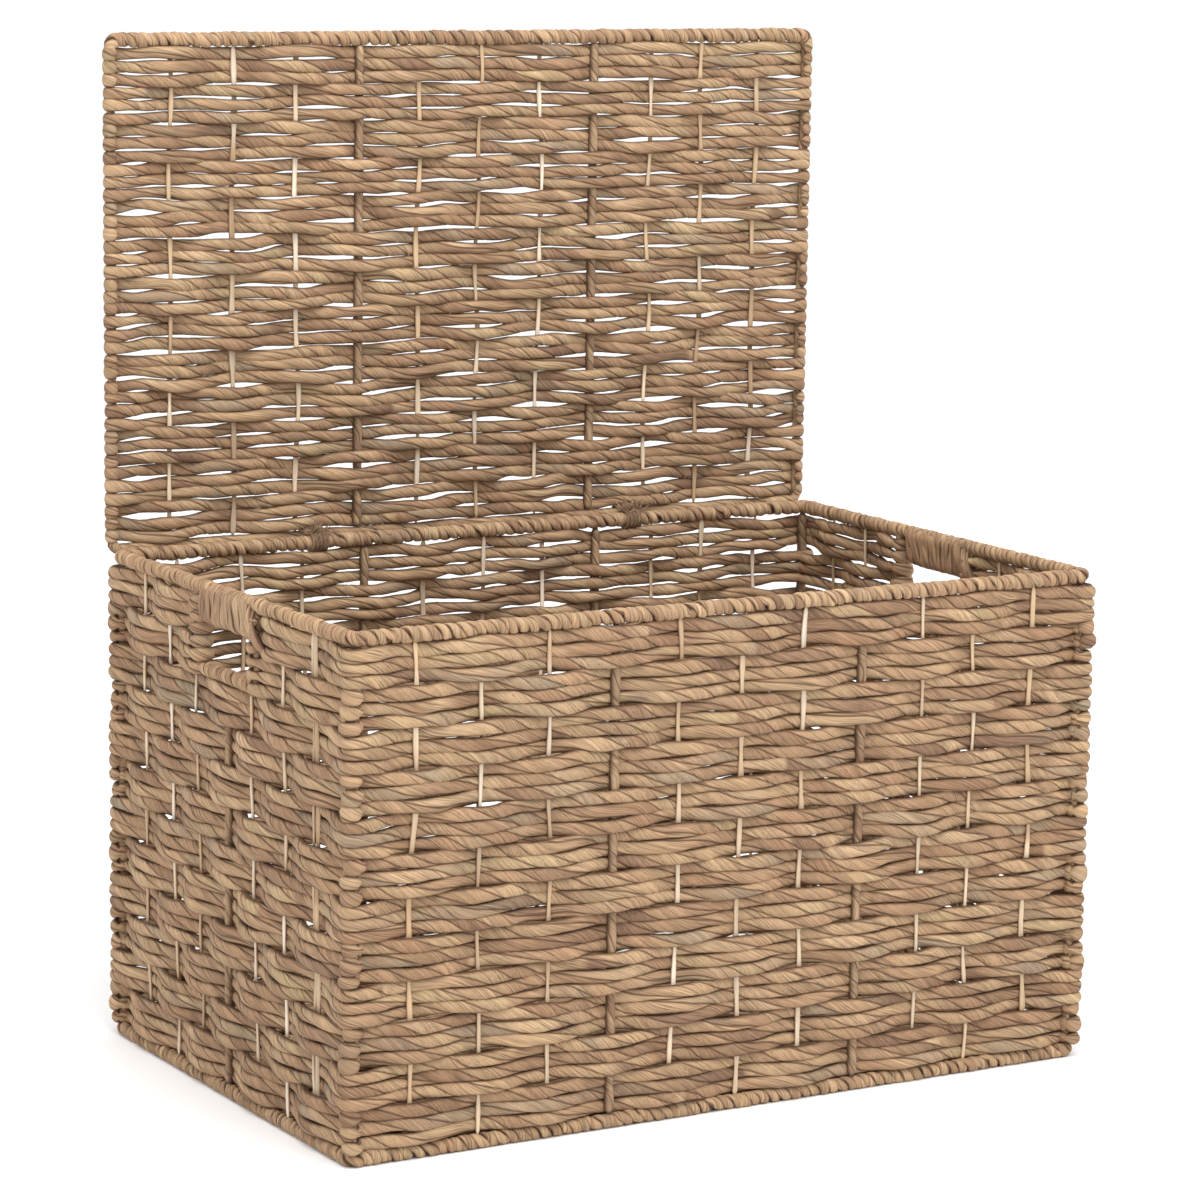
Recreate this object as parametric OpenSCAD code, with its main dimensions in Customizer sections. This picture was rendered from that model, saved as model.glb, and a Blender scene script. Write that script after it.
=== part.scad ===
// Wicker storage trunk with a hinged flat lid and two hand holes.
// Twisted water hyacinth cord is woven over flat rattan stakes on a welded steel rod frame.
// X runs left to right, Y from front to back, Z up. The origin is the centre of the underside.
// The lid stands open. Each woven panel is one solid of the panel's outer shape.

/* [Trunk] */
// Width between the corner rods' axes
frame_w = 688; // [560:1:760]
// Depth between the corner rods' axes
frame_d = 432; // [360:1:500]
// Height from the base rod's axis to the rim rod's axis
frame_h = 410; // [340:1:460]
// Thickness of a woven wall
panel_t = 16; // [14:0.5:16]

/* [Lid] */
// Angle that the lid stands open, 0 is closed
lid_open = 90; // [0:5:90]
// Width of each hinge tie
tie_w = 20; // [14:1:20]

/* [Hand holes] */
// Rows of cord between the rim and the sill of the hand hole
sill_rows = 6; // [6:1:8]
// Height of the wrapped grip, from its lower edge to the top of the rim
grip_h = 34; // [30:1:36]
// Thickness of the wrapped grip
grip_t = 15; // [13:0.5:16]

/* [Rods and stakes] */
// Diameter of the bent rods of the base, the rim and the lid
ring_rod_d = 6; // [5.5:0.1:6.5]
// Diameter of the posts, ribs and grip rods
post_rod_d = 5; // [4:0.1:5]
// Width of a rattan stake
stake_w = 5; // [3:0.5:5]
// Thickness of a rattan stake
stake_t = 1.6; // [1:0.1:2]

/* [Hidden] */
$fn = 48;

left = -1;
right = 1;
front = -1;
back = 1;

// Space left between neighbouring coverings, and overshoot of a cutting solid
gap = 0.3;
overshoot = 1;

// Coverings
binding_d = 12;
corner_wrap_d = 16;
edge_wrap_d = 14;
rib_wrap_d = 8;
bend_r = 6;

// Rows of the weave, and which places along a wall hold ribs, stakes or uprights
wall_rows = 36;
rib_positions = [4, 8];
stake_positions_wide = [1, 2, 3, 5, 6, 7, 9, 10, 11];
stake_positions_deep = [1, 2, 6, 7];
upright_positions = [3, 5];

// Hand spacing of the stakes and ribs, as shares of the way from the left corner and the front corner
wide_places = [0, 0.077, 0.163, 0.25, 0.337, 0.422, 0.51, 0.596, 0.676, 0.762, 0.839, 0.924, 1];
deep_places = [0, 0.146, 0.266, 0.396, 0.5, 0.632, 0.745, 0.87, 1];

// Heights
base_z = binding_d / 2;
rim_z = base_z + frame_h;
wall_bottom = base_z + binding_d / 2 + gap;
wall_top = rim_z - binding_d / 2 - gap;
row_pitch = (frame_h - binding_d) / wall_rows;
sill_z = rim_z - sill_rows * row_pitch;
sill_bottom = sill_z - binding_d / 2 - gap;
grip_bottom = rim_z + binding_d / 2 - grip_h;
grip_rod_z = grip_bottom + post_rod_d / 2 + 3;

// A corner post stands under the middle of the bend in the frame
post_inset = bend_r * (1 - cos(45));
post_x = frame_w / 2 - post_inset;
post_y = frame_d / 2 - post_inset;

// Ends of the walls beside the corner wraps, and of the short rows beside the hand hole
wall_end_x = post_x - corner_wrap_d / 2 - gap;
wall_end_y = post_y - corner_wrap_d / 2 - gap;
upright_y = 54;
upright_cover = 12;
hole_half = upright_y - upright_cover;

// The lid's rear rod turns round the back rim rod, above it when closed
lid_lift = 14.5;
lid_setback = 4;
lid_d = frame_d - lid_setback;
lid_mid_y = -(lid_setback + lid_d / 2);
lid_inner_d = lid_d - binding_d - 2 * gap;
tie_clearance = 0.3;
tie_cord = 3.5;
tie_r = binding_d / 2 + tie_clearance + tie_cord;
tie_x = frame_w / 4 - 14;
tie_notch_w = tie_w + 2;
arc_steps = 16;

cord_tan = [0.72, 0.58, 0.42];
cord_brown = [0.60, 0.46, 0.33];
cord_dark = [0.46, 0.34, 0.24];
rattan = [0.90, 0.80, 0.62];
steel = [0.42, 0.42, 0.44];

function bay_x(position) = frame_w * (wide_places[position] - 0.5);
function bay_y(position) = frame_d * (deep_places[position] - 0.5);

// Outline of a bar with half-round ends, from the origin towards the point `to`
function rounded_bar(to, r) = let (turn = atan2(to[1], to[0]), far = norm(to)) concat(
    [for (i = [0 : arc_steps]) let (a = turn - 90 + 180 * i / arc_steps)
        [far * cos(turn) + r * cos(a), far * sin(turn) + r * sin(a)]],
    [for (i = [0 : arc_steps]) let (a = turn + 90 + 180 * i / arc_steps) [r * cos(a), r * sin(a)]]
);

// ---- Simple shapes ----

module rod_along_x(length, d) {
    translate([-length / 2, 0, 0]) rotate([0, 90, 0]) cylinder(h = length, d = d);
}

module rod_along_y(length, d) {
    translate([0, length / 2, 0]) rotate([90, 0, 0]) cylinder(h = length, d = d);
}

module rod_up(bottom, top, d) {
    translate([0, 0, bottom]) cylinder(h = top - bottom, d = d);
}

module block(low, high) {
    translate(low) cube(high - low);
}

// Extrudes an outline drawn in Y and Z along X
module profile_along_x(length) {
    translate([-length / 2, 0, 0]) rotate([90, 0, 90]) linear_extrude(height = length) children();
}

// Extrudes an outline drawn in X and Z along Y
module profile_along_y(length) {
    translate([0, length / 2, 0]) rotate([90, 0, 0]) linear_extrude(height = length) children();
}

module rod_bend(turn) {
    rotate([0, 0, turn]) rotate_extrude(angle = 90) translate([bend_r, 0]) circle(d = ring_rod_d);
}

// A rod bent into a flat rectangle, centred on the origin
module bent_ring(width, depth) {
    for (side = [-1, 1]) {
        translate([0, side * depth / 2, 0]) rod_along_x(width - 2 * bend_r, ring_rod_d);
        translate([side * width / 2, 0, 0]) rod_along_y(depth - 2 * bend_r, ring_rod_d);
    }
    translate([width / 2 - bend_r, depth / 2 - bend_r, 0]) rod_bend(0);
    translate([bend_r - width / 2, depth / 2 - bend_r, 0]) rod_bend(90);
    translate([bend_r - width / 2, bend_r - depth / 2, 0]) rod_bend(180);
    translate([width / 2 - bend_r, bend_r - depth / 2, 0]) rod_bend(270);
}

// ---- Frame of the trunk ----

module base_ring() {
    translate([0, 0, base_z]) bent_ring(frame_w, frame_d);
}

module rim_ring() {
    translate([0, 0, rim_z]) bent_ring(frame_w, frame_d);
}

module base_frame() {
    color(steel) base_ring();
}

module rim_frame() {
    color(steel) rim_ring();
}

// Takes away the base and rim rods, so that a post's ends are coped to them
module coped_to_rings() {
    difference() {
        children();
        base_ring();
        rim_ring();
    }
}

module post_rod(side, end) {
    translate([side * post_x, end * post_y, 0]) rod_up(base_z, rim_z, post_rod_d);
}

module corner_post(side, end) {
    color(steel) coped_to_rings() post_rod(side, end);
}

module wall_rib_rods(end) {
    for (position = rib_positions)
        translate([bay_x(position), end * frame_d / 2, 0]) rod_up(base_z, rim_z, post_rod_d);
}

module front_ribs() {
    color(steel) coped_to_rings() wall_rib_rods(front);
}

module back_ribs() {
    color(steel) coped_to_rings() wall_rib_rods(back);
}

module side_rib_rod(side) {
    translate([side * frame_w / 2, 0, 0]) rod_up(base_z, sill_z, post_rod_d);
}

module side_ribs() {
    color(steel) difference() {
        for (side = [left, right]) side_rib_rod(side);
        base_ring();
        for (side = [left, right]) handle_bow(side);
    }
}

module base_rib_rods() {
    for (position = rib_positions)
        translate([bay_x(position), 0, base_z]) rod_along_y(frame_d, post_rod_d);
}

module base_ribs() {
    color(steel) difference() {
        base_rib_rods();
        base_ring();
        wall_rib_rods(front);
        wall_rib_rods(back);
    }
}

// The bow below the rim: two uprights joined by the sill rod, with bent corners
module handle_bow(side) {
    translate([side * frame_w / 2, 0, 0]) {
        for (end = [front, back])
            translate([0, end * upright_y, 0]) rod_up(sill_z + bend_r, rim_z, post_rod_d);
        translate([0, 0, sill_z]) rod_along_y(2 * (upright_y - bend_r), post_rod_d);
        translate([0, upright_y - bend_r, sill_z + bend_r]) rotate([90, 0, 90]) bow_bend(270);
        translate([0, bend_r - upright_y, sill_z + bend_r]) rotate([90, 0, 90]) bow_bend(180);
    }
}

module bow_bend(turn) {
    rotate([0, 0, turn]) rotate_extrude(angle = 90) translate([bend_r, 0]) circle(d = post_rod_d);
}

module handle_frame(side) {
    color(steel) difference() {
        handle_bow(side);
        rim_ring();
    }
}

module grip_rod_bar(side) {
    translate([side * frame_w / 2, 0, grip_rod_z]) rod_along_y(2 * upright_y, post_rod_d);
}

module grip_rod(side) {
    color(steel) difference() {
        grip_rod_bar(side);
        handle_bow(side);
    }
}

// ---- Stakes ----

module wall_stake_bars(end, bottom, top) {
    for (position = stake_positions_wide)
        translate([bay_x(position), end * frame_d / 2, 0])
            block([-stake_w / 2, -stake_t / 2, bottom], [stake_w / 2, stake_t / 2, top]);
}

module side_stake_bars(side, positions, bottom, top) {
    for (position = positions)
        translate([side * frame_w / 2, bay_y(position), 0])
            block([-stake_t / 2, -stake_w / 2, bottom], [stake_t / 2, stake_w / 2, top]);
}

module front_stakes() {
    color(rattan) wall_stake_bars(front, wall_bottom, wall_top);
}

module back_stakes() {
    color(rattan) wall_stake_bars(back, wall_bottom, wall_top);
}

module side_stakes(side) {
    color(rattan) {
        side_stake_bars(side, stake_positions_deep, wall_bottom, wall_top);
        side_stake_bars(side, upright_positions, wall_bottom, sill_bottom);
    }
}

module base_stake_bars(length) {
    for (position = stake_positions_wide)
        translate([bay_x(position), 0, base_z])
            block([-stake_w / 2, -length / 2, -stake_t / 2], [stake_w / 2, length / 2, stake_t / 2]);
}

module base_stakes() {
    color(rattan) base_stake_bars(frame_d - binding_d - 2 * gap);
}

// ---- Woven panels ----

module wall_rib_wrap_rods(end, bottom, top) {
    for (position = rib_positions)
        translate([bay_x(position), end * frame_d / 2, 0]) rod_up(bottom, top, rib_wrap_d);
}

module side_rib_wrap_rod(side, bottom, top) {
    translate([side * frame_w / 2, 0, 0]) rod_up(bottom, top, rib_wrap_d);
}

module wall_panel(end) {
    difference() {
        translate([0, end * frame_d / 2, 0])
            block([-wall_end_x, -panel_t / 2, wall_bottom], [wall_end_x, panel_t / 2, wall_top]);
        wall_rib_wrap_rods(end, wall_bottom - overshoot, wall_top + overshoot);
        wall_stake_bars(end, wall_bottom - overshoot, wall_top + overshoot);
    }
}

module front_weave() {
    color(cord_tan) wall_panel(front);
}

// The hinge ties pass between the back wall's top rows
module back_weave() {
    color(cord_tan) difference() {
        wall_panel(back);
        for (side = [left, right])
            translate([side * tie_x, frame_d / 2, 0])
                block([-tie_notch_w / 2, -panel_t, rim_z - tie_r - gap], [tie_notch_w / 2, panel_t, rim_z]);
    }
}

module side_weave_lower(side) {
    color(cord_brown) difference() {
        translate([side * frame_w / 2, 0, 0])
            block([-panel_t / 2, -wall_end_y, wall_bottom], [panel_t / 2, wall_end_y, sill_bottom]);
        side_rib_wrap_rod(side, wall_bottom - overshoot, sill_bottom + overshoot);
        side_stake_bars(side, concat(stake_positions_deep, upright_positions),
            wall_bottom - overshoot, sill_bottom + overshoot);
    }
}

// Short rows turn back round the bow's upright
module side_weave_upper(side, end) {
    near = min(end * hole_half, end * wall_end_y);
    far = max(end * hole_half, end * wall_end_y);
    color(cord_tan) difference() {
        translate([side * frame_w / 2, 0, 0])
            block([-panel_t / 2, near, sill_bottom + gap], [panel_t / 2, far, wall_top]);
        handle_bow(side);
        grip_rod_bar(side);
        side_stake_bars(side, stake_positions_deep, sill_bottom - overshoot, wall_top + overshoot);
    }
}

module base_weave() {
    half_x = frame_w / 2 - binding_d / 2 - gap;
    half_y = frame_d / 2 - binding_d / 2 - gap;
    color(cord_brown) difference() {
        block([-half_x, -half_y, 0], [half_x, half_y, binding_d]);
        base_rib_rods();
        base_stake_bars(frame_d);
    }
}

// ---- Bindings and wraps of the trunk ----

module long_binding(end, height) {
    translate([0, end * frame_d / 2, height]) rod_along_x(frame_w + binding_d, binding_d);
}

module rim_binding_long(end) {
    color(cord_tan) difference() {
        long_binding(end, rim_z);
        rim_ring();
        post_rod(left, end);
        post_rod(right, end);
        wall_rib_rods(end);
    }
}

// The side rim's coil stops at the grip, so it has a front and a back length
module rim_binding_side(side) {
    length = frame_d / 2 - binding_d / 2 - gap - hole_half - gap;
    color(cord_tan) difference() {
        for (end = [front, back])
            translate([side * frame_w / 2, end * (hole_half + gap + length / 2), rim_z])
                rod_along_y(length, binding_d);
        rim_ring();
        handle_bow(side);
    }
}

module base_binding_long(end) {
    color(cord_brown) difference() {
        long_binding(end, base_z);
        base_ring();
        post_rod(left, end);
        post_rod(right, end);
        wall_rib_rods(end);
        base_rib_rods();
    }
}

module base_binding_side(side) {
    color(cord_brown) difference() {
        translate([side * frame_w / 2, 0, base_z]) rod_along_y(frame_d - binding_d - 2 * gap, binding_d);
        base_ring();
        side_rib_rod(side);
    }
}

module corner_wrap(side, end) {
    color(cord_brown) difference() {
        translate([side * post_x, end * post_y, 0]) rod_up(wall_bottom, wall_top, corner_wrap_d);
        post_rod(side, end);
    }
}

module rib_wraps() {
    color(cord_dark) difference() {
        union() {
            wall_rib_wrap_rods(front, wall_bottom, wall_top);
            wall_rib_wrap_rods(back, wall_bottom, wall_top);
            for (side = [left, right]) side_rib_wrap_rod(side, wall_bottom, sill_bottom);
        }
        wall_rib_rods(front);
        wall_rib_rods(back);
        for (side = [left, right]) side_rib_rod(side);
    }
}

// Flat leaf wound round the rim rod and the grip rod together
module grip_wrap(side) {
    length = 2 * (hole_half - gap);
    reach = grip_h - grip_t;
    color(cord_tan) difference() {
        translate([side * frame_w / 2, 0, grip_bottom + grip_t / 2])
            profile_along_y(length) polygon(rounded_bar([0, reach], grip_t / 2));
        rim_ring();
        grip_rod_bar(side);
    }
}

module sill_wrap(side) {
    color(cord_tan) difference() {
        translate([side * frame_w / 2, 0, sill_z]) rod_along_y(2 * (hole_half - gap), binding_d);
        handle_bow(side);
        side_rib_rod(side);
    }
}

// ---- Lid, drawn closed with the hinge axis as X, then turned open ----

module lid_place() {
    translate([0, frame_d / 2, rim_z]) rotate([-lid_open, 0, 0]) children();
}

module lid_ring() {
    translate([0, lid_mid_y, lid_lift]) bent_ring(frame_w, lid_d);
}

module lid_rods(length, d) {
    for (position = rib_positions)
        translate([bay_x(position), lid_mid_y, lid_lift]) rod_along_y(length, d);
}

module lid_stake_bars(length) {
    for (position = stake_positions_wide)
        translate([bay_x(position), lid_mid_y, lid_lift])
            block([-stake_w / 2, -length / 2, -stake_t / 2], [stake_w / 2, length / 2, stake_t / 2]);
}

module lid_frame() {
    color(steel) lid_place() lid_ring();
}

module lid_ribs() {
    color(steel) lid_place() difference() {
        lid_rods(lid_d, post_rod_d);
        lid_ring();
    }
}

module lid_rib_wraps() {
    color(cord_dark) lid_place() difference() {
        lid_rods(lid_inner_d, rib_wrap_d);
        lid_rods(lid_d, post_rod_d);
    }
}

module lid_stakes() {
    color(rattan) lid_place() lid_stake_bars(lid_inner_d);
}

module lid_weave() {
    half_x = frame_w / 2 - edge_wrap_d / 2 - gap;
    rear = lid_mid_y + lid_inner_d / 2;
    color(cord_tan) lid_place() difference() {
        block([-half_x, rear - lid_inner_d, lid_lift - panel_t / 2], [half_x, rear, lid_lift + panel_t / 2]);
        lid_rods(lid_d, rib_wrap_d);
        lid_stake_bars(lid_d);
        for (side = [left, right])
            translate([side * tie_x, -lid_setback, lid_lift])
                block([-tie_notch_w / 2, -tie_r - gap, -panel_t], [tie_notch_w / 2, 0, panel_t]);
    }
}

module lid_binding(end) {
    color(cord_tan) lid_place() difference() {
        translate([0, lid_mid_y + end * lid_d / 2, lid_lift]) rod_along_x(frame_w + binding_d, binding_d);
        lid_ring();
        lid_rods(lid_d, post_rod_d);
    }
}

module lid_edge_wrap(side) {
    color(cord_brown) lid_place() difference() {
        translate([side * frame_w / 2, lid_mid_y, lid_lift]) rod_along_y(lid_inner_d, edge_wrap_d);
        lid_ring();
    }
}

// A doubled cord loop that turns on the back rim and holds the lid's rear edge
module hinge_tie(side) {
    color(cord_dark) lid_place() translate([side * tie_x, 0, 0]) difference() {
        profile_along_x(tie_w) polygon(rounded_bar([-lid_setback, lid_lift], tie_r));
        rod_along_x(tie_w + 2 * overshoot, binding_d + 2 * tie_clearance);
        translate([0, -lid_setback, lid_lift]) rod_along_x(tie_w + 2 * overshoot, binding_d);
    }
}

base_frame();
rim_frame();
corner_post(left, front);  // corner_post_front_left
corner_post(right, front);  // corner_post_front_right
corner_post(left, back);  // corner_post_back_left
corner_post(right, back);  // corner_post_back_right
front_ribs();
back_ribs();
side_ribs();
base_ribs();
handle_frame(left);  // handle_frame_left
handle_frame(right);  // handle_frame_right
grip_rod(left);  // grip_rod_left
grip_rod(right);  // grip_rod_right
front_stakes();
back_stakes();
side_stakes(left);  // left_stakes
side_stakes(right);  // right_stakes
base_stakes();
front_weave();
back_weave();
base_weave();
side_weave_lower(left);  // left_weave_lower
side_weave_upper(left, front);  // left_weave_front
side_weave_upper(left, back);  // left_weave_back
side_weave_lower(right);  // right_weave_lower
side_weave_upper(right, front);  // right_weave_front
side_weave_upper(right, back);  // right_weave_back
rim_binding_long(front);  // rim_binding_front
rim_binding_long(back);  // rim_binding_back
rim_binding_side(left);  // rim_binding_left
rim_binding_side(right);  // rim_binding_right
base_binding_long(front);  // base_binding_front
base_binding_long(back);  // base_binding_back
base_binding_side(left);  // base_binding_left
base_binding_side(right);  // base_binding_right
corner_wrap(left, front);  // corner_wrap_front_left
corner_wrap(right, front);  // corner_wrap_front_right
corner_wrap(left, back);  // corner_wrap_back_left
corner_wrap(right, back);  // corner_wrap_back_right
rib_wraps();
grip_wrap(left);  // grip_wrap_left
grip_wrap(right);  // grip_wrap_right
sill_wrap(left);  // sill_wrap_left
sill_wrap(right);  // sill_wrap_right
lid_frame();
lid_ribs();
lid_rib_wraps();
lid_stakes();
lid_weave();
lid_binding(front);  // lid_binding_front
lid_binding(back);  // lid_binding_back
lid_edge_wrap(left);  // lid_edge_wrap_left
lid_edge_wrap(right);  // lid_edge_wrap_right
hinge_tie(left);  // hinge_tie_left
hinge_tie(right);  // hinge_tie_right
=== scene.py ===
"""Looks of the wicker storage trunk: every cord, stake, binding and tie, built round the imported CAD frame.

All lengths are in metres. X runs left to right, Y front to back, Z up. The lid stands open at rest.
"""
import math
from functools import partial

import bpy
import numpy as np
from mathutils import Matrix, Vector


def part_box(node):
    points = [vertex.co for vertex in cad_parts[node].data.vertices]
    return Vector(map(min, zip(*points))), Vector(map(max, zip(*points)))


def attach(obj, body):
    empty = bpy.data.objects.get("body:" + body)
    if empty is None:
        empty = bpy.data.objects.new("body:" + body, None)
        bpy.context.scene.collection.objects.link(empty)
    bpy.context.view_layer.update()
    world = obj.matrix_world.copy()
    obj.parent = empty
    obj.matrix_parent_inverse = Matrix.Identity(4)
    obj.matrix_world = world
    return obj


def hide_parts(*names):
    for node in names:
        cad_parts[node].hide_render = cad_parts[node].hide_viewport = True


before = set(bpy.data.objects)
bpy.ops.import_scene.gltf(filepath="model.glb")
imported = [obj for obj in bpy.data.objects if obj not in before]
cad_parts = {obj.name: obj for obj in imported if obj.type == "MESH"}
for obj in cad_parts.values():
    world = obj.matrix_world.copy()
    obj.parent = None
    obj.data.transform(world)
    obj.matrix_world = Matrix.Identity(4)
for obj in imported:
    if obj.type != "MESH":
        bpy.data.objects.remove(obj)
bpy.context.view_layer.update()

MM = 0.001
RIGHT = np.array([1.0, 0.0, 0.0])
BACK = np.array([0.0, 1.0, 0.0])
UP = np.array([0.0, 0.0, 1.0])

# ---- Places, all read from the CAD frame ----

ROD_R = 3 * MM
UPRIGHT_R = 2.5 * MM


def middle(node, axis):
    """The middle of a CAD node's box along an axis."""
    low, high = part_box(node)
    return (low[axis] + high[axis]) / 2


HALF_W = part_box("rim_frame")[1].x - ROD_R
HALF_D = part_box("rim_frame")[1].y - ROD_R
RIM_Z = middle("rim_frame", 2)
BASE_Z = middle("base_frame", 2)
LID_Y = middle("lid_frame", 1)
LID_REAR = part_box("lid_frame")[0].z + ROD_R
LID_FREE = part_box("lid_frame")[1].z - ROD_R
WALL_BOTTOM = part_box("front_weave")[0].z
WALL_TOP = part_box("front_weave")[1].z
SILL_Z = middle("sill_wrap_left", 2)
UPRIGHT_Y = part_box("handle_frame_left")[1].y - UPRIGHT_R
HOLE_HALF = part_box("grip_wrap_left")[1].y
GRIP_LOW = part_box("grip_wrap_left")[0].z
GRIP_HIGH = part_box("grip_wrap_left")[1].z
TIE_X = middle("hinge_tie_right", 0)


def stands(axis, *nodes):
    """Where the CAD's stakes and ribs stand along an axis: the middles of clusters of their corners."""
    values = []
    for node in nodes:
        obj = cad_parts[node]
        values += [(obj.matrix_world @ v.co)[axis] for v in obj.data.vertices]
    values = np.sort(values)
    clusters = np.split(values, np.where(np.diff(values) > 12 * MM)[0] + 1)
    return np.array([(c[0] + c[-1]) / 2 for c in clusters])


WALL_STANDS = stands(0, "front_stakes", "front_ribs")
LID_STANDS = stands(0, "lid_stakes", "lid_ribs")
SIDE_STANDS = np.sort(np.append(stands(1, "left_stakes"), 0.0))

# ---- Weave ----

# A wall's stands are its stakes and ribs, counted from 1. RIBS are the ribs of the long walls, MID_RIB is
# the rib of a side wall, and UNDER_HOLE are the side stakes that stop below the hand hole.
ROWS_IN_GROUP = 3
WALL_ROWS = 36
SHORT_ROWS = 6
LID_ROWS = 39
LID_UPPER_ROWS = 21
BASE_ROWS = 38
RIBS = (4, 8)
MID_RIB = 4
UNDER_HOLE = (3, 5)
WEAVE_SWING = 5.2 * MM
ROW_PITCH = (WALL_TOP - WALL_BOTTOM) / WALL_ROWS
BINDING_R = 6 * MM
LID_PITCH = (LID_FREE - LID_REAR - 2 * BINDING_R) / LID_ROWS
BASE_PITCH = (2 * HALF_D - 2 * BINDING_R) / BASE_ROWS
SIDE_LEAN = 9 * MM
BASE_LEVEL = 8.5 * MM
CORNERS = ("front_left", "front_right", "back_left", "back_right")
CORNER_WRAPS = [f"corner_wrap_{corner}" for corner in CORNERS]
FULL_PANELS = ["left_weave_lower", "right_weave_lower"]
SHORT_PANELS = [f"{side}_weave_{end}" for side in ("left", "right") for end in ("front", "back")]
CORD_HALF = (5.7 * MM, 6.15 * MM)
CORD_LAY = (32 * MM, 48 * MM)
POST_TURN = 0.84 * WEAVE_SWING
POST_STRAY = 1.2 * MM
HOLE_TURN = 6 * MM
LID_EDGE_TURN = 4.2 * MM

# ---- Colours, as display values ----

LEAF_TONES = [
    (0.82, 0.69, 0.54), (0.78, 0.65, 0.50), (0.75, 0.61, 0.47), (0.71, 0.57, 0.44), (0.65, 0.51, 0.39),
    (0.71, 0.61, 0.49), (0.70, 0.55, 0.42), (0.59, 0.46, 0.36), (0.79, 0.68, 0.52), (0.70, 0.61, 0.50),
]
LEAF_SHARE = [0.13, 0.20, 0.22, 0.16, 0.09, 0.05, 0.05, 0.03, 0.05, 0.02]
COIL_SHARE = [0.15, 0.25, 0.30, 0.16, 0.04, 0.03, 0.02, 0.01, 0.04, 0.0]
DARK_TONES = [(0.69, 0.57, 0.45), (0.73, 0.61, 0.48), (0.64, 0.51, 0.40), (0.76, 0.64, 0.50)]
DARK_SHARE = [0.35, 0.3, 0.15, 0.2]
TIE_TONES = [(0.68, 0.56, 0.44), (0.73, 0.61, 0.49), (0.62, 0.50, 0.39)]
TIE_SHARE = [0.4, 0.35, 0.25]
RATTAN_TONES = [(0.86, 0.78, 0.67), (0.80, 0.69, 0.55), (0.91, 0.85, 0.77), (0.72, 0.60, 0.47)]
RATTAN_SHARE = [0.35, 0.25, 0.2, 0.2]


def linear(tones):
    """Display values as the linear ones that shaders take."""
    value = np.array(tones)
    return np.where(value <= 0.04045, value / 12.92, ((value + 0.055) / 1.055) ** 2.4)


DRIED = np.array([1.0, 0.985, 0.98])
LEAF = (linear(LEAF_TONES) * DRIED, LEAF_SHARE)
EVEN_LEAF = (linear(LEAF_TONES) * DRIED, COIL_SHARE)
DARK = (linear(DARK_TONES) * DRIED, DARK_SHARE)
TIE = (linear(TIE_TONES), TIE_SHARE)
RATTAN = (linear(RATTAN_TONES), RATTAN_SHARE)


# ---- Curves ----

def distances(points):
    """How far along a polyline each of its points lies."""
    return np.concatenate([[0], np.cumsum(np.linalg.norm(np.diff(points, axis=0), axis=1))])


def sampled(wanted, along, values, period=None):
    """Vectors known at the places along, read off at the wanted places."""
    return np.stack([np.interp(wanted, along, values[:, k], period=period) for k in range(3)], 1)


def resample(points, step, closed=False, finer=None):
    """The same polyline with its points about step apart, and closer where finer(points) is above 1."""
    if closed:
        points = np.vstack([points, points[:1]])
    along = distances(points)
    density = np.linalg.norm(np.diff(points, axis=0), axis=1)
    if finer is not None:
        density = density * finer((points[:-1] + points[1:]) / 2)
    weighted = np.concatenate([[0], np.cumsum(density)])
    count = max(4, int(round(weighted[-1] / step)))
    wanted = np.interp(np.linspace(0, weighted[-1], count + 1), weighted, along)
    if closed:
        wanted = wanted[:-1]
    return sampled(wanted, along, points), wanted, along[-1]


def tangents(points, closed=False):
    """Unit vectors along a polyline at its points."""
    if closed:
        ahead = np.roll(points, -1, 0) - np.roll(points, 1, 0)
    else:
        ahead = np.gradient(points, axis=0)
    return ahead / np.linalg.norm(ahead, axis=1)[:, None]


def wobble(rng, along, total, scale, waves=5):
    """Smooth noise of about unit size along a curve, the same at both ends of a closed one."""
    value = np.zeros_like(along)
    for _ in range(waves):
        cycles = max(1, round(total / scale * rng.uniform(0.5, 1.6)))
        value += np.sin(2 * math.pi * (cycles * along / total + rng.random()))
    return value / math.sqrt(waves / 2)


def arc(centre, across, ahead, radius, start, end, step=2.0 * MM):
    """Points from angle start to end; angle 0 lies across from the centre and 90 degrees ahead of it."""
    count = max(3, int(abs(end - start) * radius / step))
    angle = np.linspace(start, end, count)[:, None]
    return centre + radius * (np.cos(angle) * across + np.sin(angle) * ahead)


def always(direction):
    """An across for a strand that faces the same way all along."""
    return lambda points, _ahead: np.tile(direction, (len(points), 1))


def turning(path, directions, closed=False):
    """An across for a strand that faces the directions given at the points of its path."""
    if closed:
        path = np.vstack([path, path[:1]])
        directions = np.vstack([directions, directions[:1]])
    lengths = distances(path)

    def facing(points, _ahead):
        wanted = np.linspace(0, lengths[-1], len(points) + int(closed))[:len(points)]
        return sampled(wanted, lengths, directions)

    return facing


def strand_frame(path, across, step, closed, finer=None):
    """A strand's points, how far along they lie, its length, and its directions out and aside."""
    points, along, total = resample(path, step, closed, finer)
    ahead = tangents(points, closed)
    out = across(points, ahead)
    out = out - (out * ahead).sum(1)[:, None] * ahead
    out = out / np.linalg.norm(out, axis=1)[:, None]
    return points, along, total, out, np.cross(out, ahead)


# ---- Meshes of many strands ----

def new_object(name, data):
    """An object in the scene."""
    obj = bpy.data.objects.new(name, data)
    bpy.context.scene.collection.objects.link(obj)
    return obj


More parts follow.
